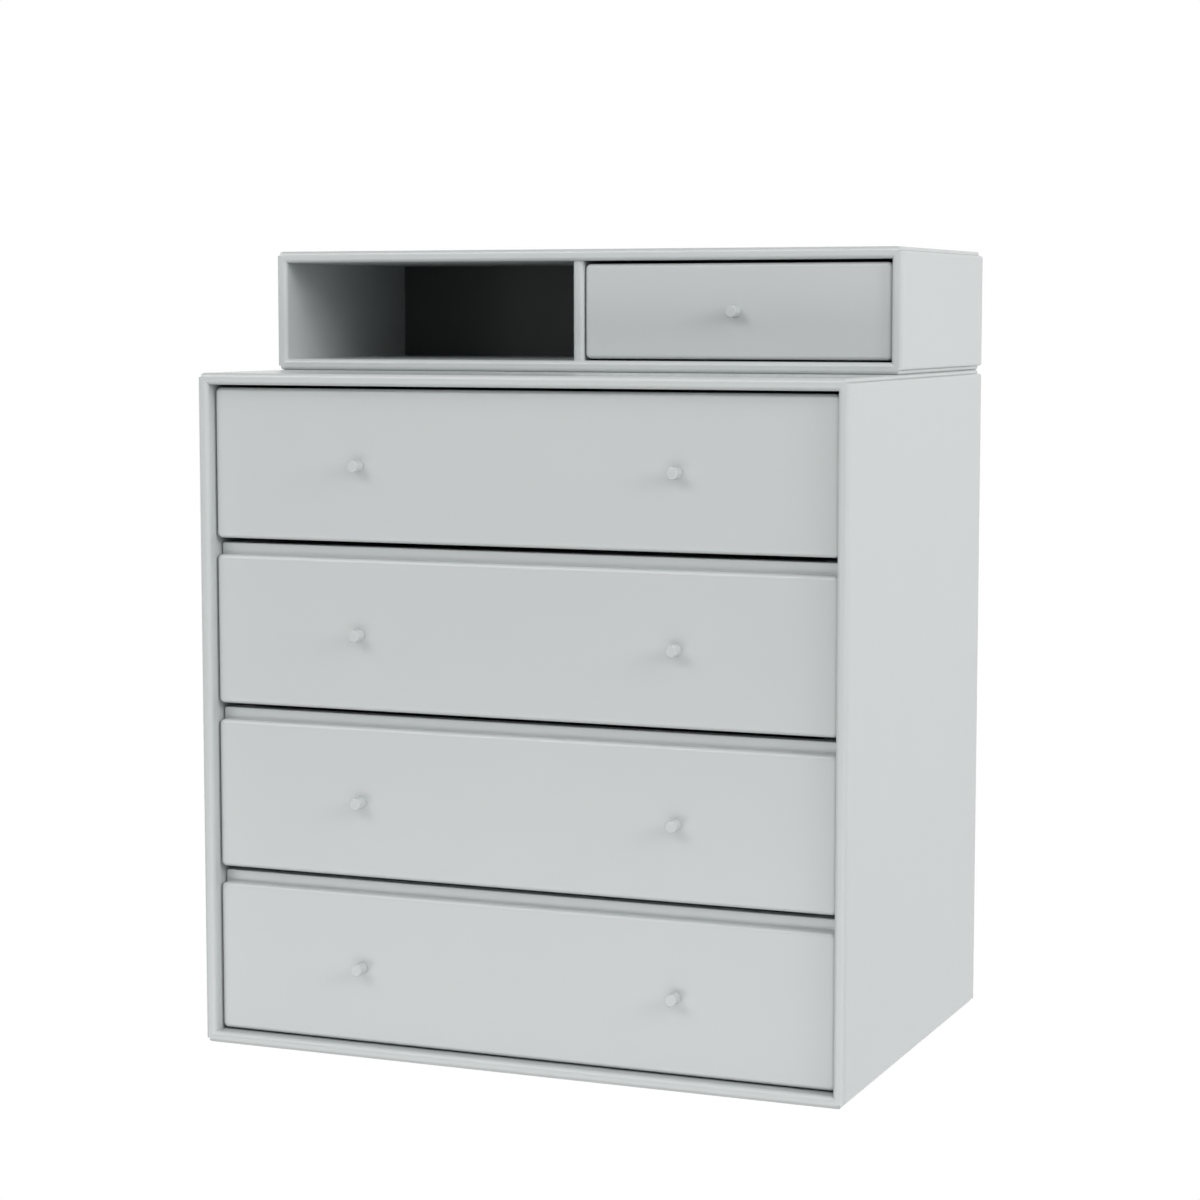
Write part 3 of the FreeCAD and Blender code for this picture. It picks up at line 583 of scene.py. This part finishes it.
def mitred_outline(length, tip, outer, inner):
    """Outline of a mitred panel between an outer and an inner level of its thickness, with rounded tips."""
    centre = Vector((tip / math.tan(MITRE / 2), tip))
    start, end = -MITRE, math.asin((tip - outer) / tip)
    half = [Vector((inner, inner))]
    for step in range(ARC_STEPS + 1):
        turn = start + (end - start) * step / ARC_STEPS
        half.append(centre - tip * Vector((math.cos(turn), math.sin(turn))))
    mirrored = [Vector((length - point.x, point.y)) for point in reversed(half)]
    return half + mirrored


def mitred_panel(node, origin, along, inward, length, back_node):
    """One carcass panel: origin is its outer front corner, and its outer face runs along."""
    sizes = settings().carcass
    low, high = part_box(node)
    size = high - low
    depth, thickness = size.y, abs(size.dot(inward))
    back_low, back_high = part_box(back_node)
    groove_front, groove_rear = back_low.y - low.y, back_high.y - low.y
    layers = [(step, setback, thickness - setback) for setback, step in quarter_round(sizes.arris)]
    floor_level = thickness - sizes.groove
    layers += [
        (groove_front, 0, thickness),
        (groove_front, 0, floor_level),
        (groove_rear, 0, floor_level),
        (groove_rear, 0, thickness),
        (depth - sizes.rear_ease, 0, thickness),
        (depth, sizes.rear_ease, thickness - sizes.rear_ease),
    ]
    rings = []
    for step, outer, inner in layers:
        outline = mitred_outline(length, sizes.tip, outer, inner)
        rings.append([origin + along * p.x + inward * p.y + INWARDS * step for p in outline])
    shape = Shape()
    shape.loft(rings)
    lacquered(node, shape)


class CHEST_OT_carcass(bpy.types.Operator):
    """Builds the panels of both boxes, their backs and the divider"""

    bl_idname = "chest.carcass"
    bl_label = "Carcass panels"

    def execute(self, context):
        ease = settings().carcass.board_ease
        for box in BOXES:
            left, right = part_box(f"{box}_left_panel")[0].x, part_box(f"{box}_right_panel")[1].x
            low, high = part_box(f"{box}_bottom_panel")[0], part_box(f"{box}_top_panel")[1]
            front, width, height = low.y, right - left, high.z - low.z
            back = f"{box}_back_panel"
            panels = (
                ("bottom", Vector((left, front, low.z)), SIDEWAYS, UPWARDS, width),
                ("top", Vector((right, front, high.z)), -SIDEWAYS, -UPWARDS, width),
                ("left", Vector((left, front, high.z)), -UPWARDS, SIDEWAYS, height),
                ("right", Vector((right, front, low.z)), UPWARDS, -SIDEWAYS, height),
            )
            for side, origin, along, inward, length in panels:
                mitred_panel(f"{box}_{side}_panel", origin, along, inward, length, back)
            # The back panels get the near-black painted-shade board instead of the grey lacquer
            mesh = eased_board(back, "Y", ease, ease, ease).mesh(back)
            finish_piece(back, mesh, "board", painted_shade_back_material())
        self.divider()
        return {"FINISHED"}

    def divider(self):
        """An upright board whose two front edges are rounded."""
        low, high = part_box("upper_divider")
        left, right = [], []
        for setback, depth in quarter_round(settings().carcass.arris):
            left.append(Vector((low.x + setback, low.y + depth, 0)))
            right.append(Vector((high.x - setback, low.y + depth, 0)))
        rear = [Vector((high.x, high.y, 0)), Vector((low.x, high.y, 0))]
        shape = Shape()
        extrude(shape, left[::-1] + right + rear, "Z", low.z, high.z)
        lacquered("upper_divider", shape)


class CHEST_OT_fronts(bpy.types.Operator):
    """Builds the outer and inner drawer fronts"""

    bl_idname = "chest.fronts"
    bl_label = "Drawer fronts"

    def execute(self, context):
        sizes = settings().drawers
        ease = settings().carcass.board_ease
        rounds = {f"{drawer}_front": (sizes.front_corner, sizes.front_edge) for drawer in DRAWERS}
        for drawer in WIDE_DRAWERS:
            rounds[f"{drawer}_inner_front"] = (sizes.inner_corner, sizes.inner_edge)
        for node, (corner, edge) in rounds.items():
            lacquered(node, eased_board(node, "Y", corner, edge, ease))
        return {"FINISHED"}


class CHEST_OT_drawer_boxes(bpy.types.Operator):
    """Builds the sides, backs and bottoms of the drawers"""

    bl_idname = "chest.drawer_boxes"
    bl_label = "Drawer boxes"

    def execute(self, context):
        ease = settings().carcass.board_ease
        for drawer in DRAWERS:
            for node, axis in ((f"{drawer}_back", "Y"), (f"{drawer}_bottom", "Z")):
                lacquered(node, eased_board(node, axis, ease, ease, ease))
            self.sides(drawer)
        return {"FINISHED"}

    def sides(self, drawer):
        """Both sides: a rounded upper edge outside and in, and a groove that the bottom slides into."""
        sizes = settings().drawers
        node = f"{drawer}_sides"
        low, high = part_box(node)
        tray_low, tray_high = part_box(f"{drawer}_bottom")
        thickness = tray_low.x - low.x + sizes.tray_groove
        outer, inner = [], []
        for setback, depth in quarter_round(sizes.side_edge):
            outer.append((setback, high.z - depth))
            inner.append((thickness - setback, high.z - depth))
        groove_wall = thickness - sizes.tray_groove
        outline = outer[::-1] + inner + [
            (thickness, tray_high.z),
            (groove_wall, tray_high.z),
            (groove_wall, tray_low.z),
            (thickness, tray_low.z),
            (thickness, low.z),
            (0, low.z),
        ]
        shape = Shape()
        for edge, direction in ((low.x, 1), (high.x, -1)):
            points = [Vector((edge + direction * across, 0, level)) for across, level in outline]
            extrude(shape, points, "Y", low.y, high.y)
        lacquered(node, shape)


class CHEST_OT_knobs(bpy.types.Operator):
    """Builds the turned knobs"""

    bl_idname = "chest.knobs"
    bl_label = "Knobs"

    def execute(self, context):
        sizes = settings().drawers
        nodes = [f"{drawer}_knobs" for drawer in WIDE_DRAWERS] + ["small_drawer_knob"]
        for node in nodes:
            shape = Shape()
            for points in separate_solids(node):
                low, high = corners_of(points)
                radius, length = (high.x - low.x) / 2, high.y - low.y
                base = Vector(((low.x + high.x) / 2, high.y, (low.z + high.z) / 2))
                foot = [(radius - setback, depth) for setback, depth in quarter_round(sizes.knob_foot)]
                crown = [
                    (radius - setback, length - depth) for setback, depth in quarter_round(sizes.knob_edge)
                ]
                turned(shape, foot + crown[::-1], base, OUTWARDS)
            lacquered(node, shape)
        return {"FINISHED"}


class CHEST_OT_runners(bpy.types.Operator):
    """Builds the rolled runner members"""

    bl_idname = "chest.runners"
    bl_label = "Runners"

    def execute(self, context):
        for node in ("main_runner_rails", "upper_runner_rails"):
            self.members(node, web_at_wall=True)
        for drawer in WIDE_DRAWERS:
            self.members(f"{drawer}_middle_members", web_at_wall=True)
        for drawer in DRAWERS:
            self.members(f"{drawer}_runner_members", web_at_wall=False)
        return {"FINISHED"}

    def members(self, node, web_at_wall):
        """C channels: the web stands at the wall or at the drawer, and the flanges point away from it."""
        sizes = settings().metal
        low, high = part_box(node)
        middle = (low.x + high.x) / 2
        half = sizes.runner_sheet / 2
        shape = Shape()
        for points in separate_solids(node):
            start, end = corners_of(points)
            at_left = (start.x + end.x) / 2 < middle
            web, tips = start.x + half, end.x
            if at_left != web_at_wall:
                web, tips = end.x - half, start.x
            corners = [
                Vector((tips, start.z + half)),
                Vector((web, start.z + half)),
                Vector((web, end.z - half)),
                Vector((tips, end.z - half)),
            ]
            outline = bent_sheet(corners, sizes.runner_sheet, sizes.runner_bend)
            extrude(shape, [Vector((p.x, 0, p.y)) for p in outline], "Y", start.y, end.y)
        plated(node, shape.mesh(node))


class CHEST_OT_hanging_gear(bpy.types.Operator):
    """Builds the wall rail, the hooks and the batten"""

    bl_idname = "chest.hanging_gear"
    bl_label = "Hanging gear"

    def execute(self, context):
        self.rail()
        self.hooks()
        self.batten()
        return {"FINISHED"}

    def batten(self):
        node = "hanging_batten"
        ease = 2 * settings().carcass.board_ease
        mesh = eased_board(node, "Y", ease, ease, ease).mesh(node)
        finish_piece(node, mesh, "wood", wood_material())

    def rail(self):
        """A Z-shaped strip with screw holes: its foot lies on the wall and its lip stands clear of it."""
        sizes = settings().metal
        low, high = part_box("wall_rail")
        half = sizes.hook_sheet / 2
        step_level = self.step_level(high.y) - half
        foot, lip = high.y - half, low.y + half
        corners = [
            Vector((foot, low.z)),
            Vector((foot, step_level)),
            Vector((lip, step_level)),
            Vector((lip, high.z)),
        ]
        outline = bent_sheet(corners, sizes.hook_sheet, sizes.hook_bend)
        shape = Shape()
        extrude(shape, [Vector((0, p.x, p.y)) for p in outline], "X", low.x, high.x)
        holes = Shape()
        radius, reach = sizes.rail_hole / 2, 4 * sizes.hook_sheet
        for across in self.hole_places():
            turned(holes, [(radius, -reach), (radius, reach)], Vector((across, foot, 0)), OUTWARDS, sides=32)
        plated("wall_rail", cut(shape.mesh("wall_rail"), holes.mesh("rail_holes")))

    def step_level(self, rear):
        """The top of the foot, where the strip steps forward: the highest point that lies on the wall."""
        return max(point.z for point in self.rail_points() if abs(point.y - rear) < ON_FACE)

    def hole_places(self):
        """Middles of the rail's screw holes along X, each from a cluster of points on the line of holes."""
        hole = settings().metal.rail_hole
        across = sorted(point.x for point in self.rail_points() if abs(point.z) < hole)
        clusters = [[across[0]]]
        for value in across[1:]:
            if value - clusters[-1][-1] > hole:
                clusters.append([])
            clusters[-1].append(value)
        return [(cluster[0] + cluster[-1]) / 2 for cluster in clusters]

    def rail_points(self):
        return [vertex.co for vertex in frame["nodes"]["wall_rail"].data.vertices]

    def hooks(self):
        """Each hook is a plate with a tongue that runs to the rear and drops behind the rail's lip."""
        sizes = settings().metal
        half = sizes.hook_sheet / 2
        shape = Shape()
        for points in separate_solids("hanging_hooks"):
            low, high = corners_of(points)
            plate, tongue = low.y + half, high.y - half
            bend_level = max(p.z for p in points if abs(p.y - high.y) < ON_FACE) - half
            upright = [Vector((plate, low.z)), Vector((plate, high.z))]
            drop = [
                Vector((plate + half, bend_level)),
                Vector((tongue, bend_level)),
                Vector((tongue, low.z)),
            ]
            for corners in (upright, drop):
                outline = bent_sheet(corners, sizes.hook_sheet, sizes.hook_bend)
                extrude(shape, [Vector((0, p.x, p.y)) for p in outline], "X", low.x, high.x)
        plated("hanging_hooks", shape.mesh("hanging_hooks"))


class CHEST_OT_screws(bpy.types.Operator):
    """Builds every screw, with a domed head, a cross recess and a threaded shank"""

    bl_idname = "chest.screws"
    bl_label = "Screws"

    # Shares of a head's radius and height, from its crown down to its seat
    PAN = ((0.25, 0.0), (0.6, 0.08), (0.82, 0.22), (0.93, 0.40), (1.0, 0.68), (1.0, 1.0))

    def execute(self, context):
        nodes = ["carcass_screws"] + [f"{drawer}_screws" for drawer in DRAWERS]
        for node in nodes:
            shape = Shape()
            for points in separate_solids(node):
                self.screw(shape, points)
            finish_piece(node, shape.mesh(node), "bright", screw_material())
        return {"FINISHED"}

    def screw(self, shape, points):
        """One screw in the place of a solid: its head is at the thicker end."""
        low, high = corners_of(points)
        middle, size = (low + high) / 2, high - low
        axis = max(range(3), key=lambda index: size[index])
        past_head = 1.05 * settings().metal.head_height

        def off_axis(point):
            away = point - middle
            away[axis] = 0
            return away.length

        def reach_at(end):
            return max(off_axis(point) for point in points if abs(point[axis] - end) < past_head)

        direction = Vector()
        direction[axis] = 1 if reach_at(high[axis]) >= reach_at(low[axis]) else -1
        top = middle + direction * size[axis] / 2
        radius = max(size[other] for other in range(3) if other != axis) / 2
        shank = min(off_axis(point) for point in points if (top - point).dot(direction) > past_head)
        head = self.head(radius)
        matrix = Matrix.Translation(top) @ direction.to_track_quat("Z", "X").to_matrix().to_4x4()
        shape.add(
            [matrix @ vertex.co for vertex in head.vertices],
            [list(face.vertices) for face in head.polygons],
        )
        self.shank(shape, top, -direction, shank, size[axis])

    def head(self, radius):
        """A pan head whose top is at the origin, with a cross cut into it."""
        name = f"screw_head_{radius * 1e4:.0f}"
        if name in bpy.data.meshes:
            return bpy.data.meshes[name]
        height = settings().metal.head_height
        profile = [(radius * share, -height * drop) for share, drop in self.PAN]
        body = Shape()
        turned(body, profile, Vector(), UPWARDS, sides=24)
        recess = Shape()
        slot, arm, deep = 0.11 * radius, 0.52 * radius, 0.7 * height
        for long_axis in (1, 0):
            rings = []
            for level, reach in ((height, arm), (-0.4 * deep, arm), (-deep, 0.35 * arm)):
                half = [slot, slot]
                half[long_axis] = reach
                rings.append([Vector((x * half[0], y * half[1], level)) for x, y in CORNERS])
            recess.loft(rings)
        mesh = cut(body.mesh("head"), recess.mesh("recess"))
        mesh.name = name
        return mesh

    def shank(self, shape, top, direction, radius, length):
        """Thread ridges from the head's seat to a blunt point."""
        sizes = settings().metal
        pitch, root = sizes.thread_pitch, radius * 0.72
        flank = 0.3 * pitch
        profile = [(radius, sizes.head_height)]
        level = sizes.head_height + pitch
        while level < length - pitch:
            profile += [(root, level - flank), (radius, level), (root, level + flank)]
            level += pitch
        profile += [(root, length - flank), (root * 0.5, length)]
        turned(shape, profile, top, direction, sides=12)


# Studio

class CHEST_OT_stage(bpy.types.Operator):
    """Builds the floor, the lamps, the white surround and the camera"""

    bl_idname = "chest.stage"
    bl_label = "Studio"

    def execute(self, context):
        self.floor()
        self.surround()
        self.fill("Side softbox", azimuth=75, elevation=20, distance=4.0, width=1.6, height=1.6, level=0.36)
        self.fill("Far softbox", azimuth=115, elevation=10, distance=4.0, width=2.6, height=2.6, level=0.25)
        self.fill("Left flank", azimuth=255, elevation=10, distance=4.0, width=2.6, height=2.6, level=0.45)
        self.fill("Rear softbox", azimuth=200, elevation=8, distance=4.0, width=2.6, height=2.6, level=0.40)
        self.lamp("Right softbox", azimuth=60, elevation=26, distance=4.5, width=3.0, height=3.0, level=0.15)
        self.lamp("Left softbox", azimuth=-36, elevation=35, distance=4.5, width=3.0, height=3.0, level=0.25)
        self.lamp("High softbox", azimuth=50, elevation=50, distance=4.5, width=3.0, height=3.0, level=0.15)
        self.lamp("Strip light", azimuth=-10, elevation=35, distance=3.6, width=4.0, height=0.5, level=0.22)
        self.lamp("Front fill", azimuth=0, elevation=-24, distance=4.2, width=8.0, height=1.9, level=0.52)
        self.camera()
        context.scene.view_settings.view_transform = "Standard"
        return {"FINISHED"}

    def floor(self):
        """A pale round floor under the hung chest, which fades into the white surround."""
        drop, radius = 1.1, 1.8
        low, high = CAD_BOUNDS
        mesh = bpy.data.meshes.new("floor")
        work = bmesh.new()
        bmesh.ops.create_circle(work, cap_ends=True, radius=radius, segments=96)
        work.to_mesh(mesh)
        work.free()
        floor = bpy.data.objects.new("floor", mesh)
        floor.location = ((low.x + high.x) / 2, (low.y + high.y) / 2, low.z - drop)
        bpy.context.scene.collection.objects.link(floor)
        mesh.materials.append(self.floor_material(fade_start=0.35 * radius, fade_end=0.62 * radius))

    def floor_material(self, fade_start, fade_end):
        """Matt floor, which the camera sees only up to a distance from its middle."""
        material, tree, shader = new_material("Pale floor")
        mottled(tree, shader, paint("floor"), Scale=2.0, Darkest=0.98, Smoothest=0.7, Roughest=0.8)
        shader.inputs["Specular IOR Level"].default_value = 0.2
        place = add_node(tree, "ShaderNodeTexCoord").outputs["Object"]
        distance = add_node(tree, "ShaderNodeVectorMath", operation="LENGTH")
        tree.links.new(place, distance.inputs[0])
        fade = add_node(tree, "ShaderNodeMapRange", interpolation_type="SMOOTHSTEP")
        fade.inputs["From Min"].default_value = fade_start
        fade.inputs["From Max"].default_value = fade_end
        fade.inputs["To Min"].default_value = 1.0
        fade.inputs["To Max"].default_value = 0.0
        tree.links.new(distance.outputs["Value"], fade.inputs["Value"])
        seen = add_node(tree, "ShaderNodeLightPath").outputs["Is Camera Ray"]
        opaque = add_node(tree, "ShaderNodeMix", data_type="FLOAT")
        opaque.inputs["A"].default_value = 1.0
        tree.links.new(seen, opaque.inputs["Factor"])
        tree.links.new(fade.outputs["Result"], opaque.inputs["B"])
        tree.links.new(opaque.outputs["Result"], shader.inputs["Alpha"])
        return material

    def surround(self):
        """White to the camera and in reflections, and an even softer light on everything else."""
        world = bpy.data.worlds.new("Studio surround")
        bpy.context.scene.world = world
        world.use_nodes = True
        tree = world.node_tree
        white = tree.nodes["Background"]
        white.inputs["Color"].default_value = (1, 1, 1, 1)
        path = add_node(tree, "ShaderNodeLightPath")
        strength = add_node(tree, "ShaderNodeValue").outputs["Value"]
        strength.default_value = settings().finish.ambient
        for label in ("Is Camera Ray", "Is Glossy Ray", "Is Transmission Ray"):
            either = add_node(tree, "ShaderNodeMath", operation="MAXIMUM")
            tree.links.new(strength, either.inputs[0])
            tree.links.new(path.outputs[label], either.inputs[1])
            strength = either.outputs["Value"]
        tree.links.new(strength, white.inputs["Strength"])

    def lamp(self, name, azimuth, elevation, distance, width, height, level):
        """A soft lamp: level is the light that it throws on a surface that faces it."""
        data = bpy.data.lights.new(name, "AREA")
        data.shape = "RECTANGLE"
        data.size, data.size_y = width, height
        data.energy = level * math.pi ** 2 * distance ** 2
        lamp = bpy.data.objects.new(name, data)
        bpy.context.scene.collection.objects.link(lamp)
        low, high = CAD_BOUNDS
        turn, rise = math.radians(azimuth), math.radians(elevation)
        level_part = Vector((math.sin(turn), -math.cos(turn), 0)) * math.cos(rise)
        towards_lamp = level_part + UPWARDS * math.sin(rise)
        lamp.location = (low + high) / 2 + towards_lamp * distance
        lamp.rotation_euler = towards_lamp.to_track_quat("Z", "Y").to_euler()
        return lamp

    def fill(self, name, **values):
        """A lamp for the sides that leaves no glare on flat lacquer."""
        self.lamp(name, **values).visible_glossy = False

    def camera(self):
        """A long lens to the right of the chest, at the height of the upper box."""
        data = bpy.data.cameras.new("Camera")
        data.sensor_width = 36.0
        data.lens = 86.802
        camera = bpy.data.objects.new("Camera", data)
        camera.location = (1.1588, -3.0508, 0.1538)
        camera.rotation_euler = (math.radians(84.35), 0, math.radians(22.37))
        bpy.context.scene.collection.objects.link(camera)
        bpy.context.scene.camera = camera


OPERATORS = (
    CHEST_OT_carcass,
    CHEST_OT_fronts,
    CHEST_OT_drawer_boxes,
    CHEST_OT_knobs,
    CHEST_OT_runners,
    CHEST_OT_hanging_gear,
    CHEST_OT_screws,
    CHEST_OT_stage,
)


class CHEST_PT_pieces(bpy.types.Panel):
    """The chest's sizes, finishes and pieces"""

    bl_idname = "CHEST_PT_pieces"
    bl_label = "Wall chest"
    bl_space_type = "VIEW_3D"
    bl_region_type = "UI"
    bl_category = "Wall chest"

    def draw(self, context):
        for part in ("carcass", "drawers", "metal", "finish"):
            box = self.layout.box()
            box.label(text=part.capitalize())
            group = getattr(settings(), part)
            for name in group.__annotations__:
                box.prop(group, name)
        for operator in OPERATORS:
            self.layout.operator(operator.bl_idname)


CLASSES = (
    ChestCarcassSizes,
    ChestDrawerSizes,
    ChestMetalSizes,
    ChestFinish,
    ChestSettings,
    *OPERATORS,
    CHEST_PT_pieces,
)


def register():
    for item in CLASSES:
        bpy.utils.register_class(item)
    bpy.types.Scene.wall_chest = PointerProperty(type=ChestSettings)


def unregister():
    del bpy.types.Scene.wall_chest
    for item in reversed(CLASSES):
        bpy.utils.unregister_class(item)


def main():
    register()
    bpy.ops.chest.carcass()
    bpy.ops.chest.fronts()
    bpy.ops.chest.drawer_boxes()
    bpy.ops.chest.knobs()
    bpy.ops.chest.runners()
    bpy.ops.chest.hanging_gear()
    bpy.ops.chest.screws()
    bpy.ops.chest.stage()


if __name__ == "__main__":
    main()
